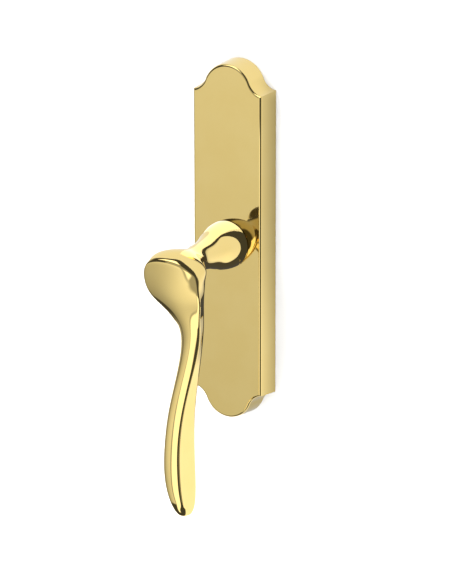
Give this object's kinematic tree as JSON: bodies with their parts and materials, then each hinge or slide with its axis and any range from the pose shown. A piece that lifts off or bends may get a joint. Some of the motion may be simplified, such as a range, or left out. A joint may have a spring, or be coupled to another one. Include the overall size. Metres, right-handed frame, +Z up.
{
  "type": "cremone window handle",
  "caption": "Cremone window handle: ogee-ended hollow cover over a rack gearbox, with a waved lever that drives two rod pegs.",
  "frame": {"origin": "on the spindle's axis, in the flat back face that lies on the sash", "axes": "+Z up along the cover, rods shut with the lever hanging down; +Y into the sash; the handle faces -Y; +X to the right of the viewer"},
  "size_m": [0.038, 0.0852, 0.2054],
  "materials": {
    "polished_brass": "polished and lacquered",
    "zinc_plated_steel": "zinc plated",
    "bright_steel": "machined, oiled",
    "spring_steel": "blued spring steel",
    "die_cast_zinc": "as cast",
    "white_nylon": "moulded nylon",
    "black_oxide_steel": "black oxide"
  },
  "bodies": {
    "case": {"cover": "polished_brass", "base_plate": "zinc_plated_steel", "housing_lid": "zinc_plated_steel", "case_screw_1": "zinc_plated_steel", "case_screw_2": "zinc_plated_steel", "case_screw_3": "zinc_plated_steel", "case_screw_4": "zinc_plated_steel", "upper_fixing_screw": "zinc_plated_steel", "lower_fixing_screw": "zinc_plated_steel", "upper_clip_rivet": "zinc_plated_steel", "lower_clip_rivet": "zinc_plated_steel", "upper_detent_spring": "spring_steel", "lower_detent_spring": "spring_steel", "upper_cover_clip": "spring_steel", "lower_cover_clip": "spring_steel", "gear_housing": "die_cast_zinc", "front_bush": "white_nylon", "rear_bush": "white_nylon", "neck_washer": "white_nylon"},
    "handle": {"lever_handle": "polished_brass", "spindle": "bright_steel", "spindle_circlip": "black_oxide_steel", "neck_grub_screw": "black_oxide_steel", "pinion": "bright_steel"},
    "upper_drive": {"upper_rack": "bright_steel", "upper_drive_peg": "zinc_plated_steel"},
    "lower_drive": {"lower_rack": "bright_steel", "lower_drive_peg": "zinc_plated_steel"},
    "upper_detent": {"upper_detent_pin": "bright_steel"},
    "lower_detent": {"lower_detent_pin": "bright_steel"}
  },
  "joints": [
    {"name": "handle_turn", "type": "hinge", "parent": "case", "child": "handle", "pos_m": [0, 0, 0], "axis": [0, 1, 0], "range_deg": [0, 90]},
    {"name": "upper_rack_slide", "type": "slide", "parent": "case", "child": "upper_drive", "axis": [0, 0, 1], "range_m": [-0.01571, 0]},
    {"name": "lower_rack_slide", "type": "slide", "parent": "case", "child": "lower_drive", "axis": [0, 0, 1], "range_m": [0, 0.01571]},
    {"name": "upper_detent_slide", "type": "slide", "parent": "case", "child": "upper_detent", "axis": [0, 0, 1], "range_m": [0, 0.0006], "stiffness_N_per_m": 800, "springref_m": -0.002, "deforming": ["upper_detent_spring"]},
    {"name": "lower_detent_slide", "type": "slide", "parent": "case", "child": "lower_detent", "axis": [0, 0, -1], "range_m": [0, 0.0006], "stiffness_N_per_m": 800, "springref_m": -0.002, "deforming": ["lower_detent_spring"]}
  ],
  "couplings": [
    {"joint": "upper_rack_slide", "follows": "handle_turn", "m_per_rad": -0.01},
    {"joint": "lower_rack_slide", "follows": "handle_turn", "m_per_rad": 0.01}
  ]
}
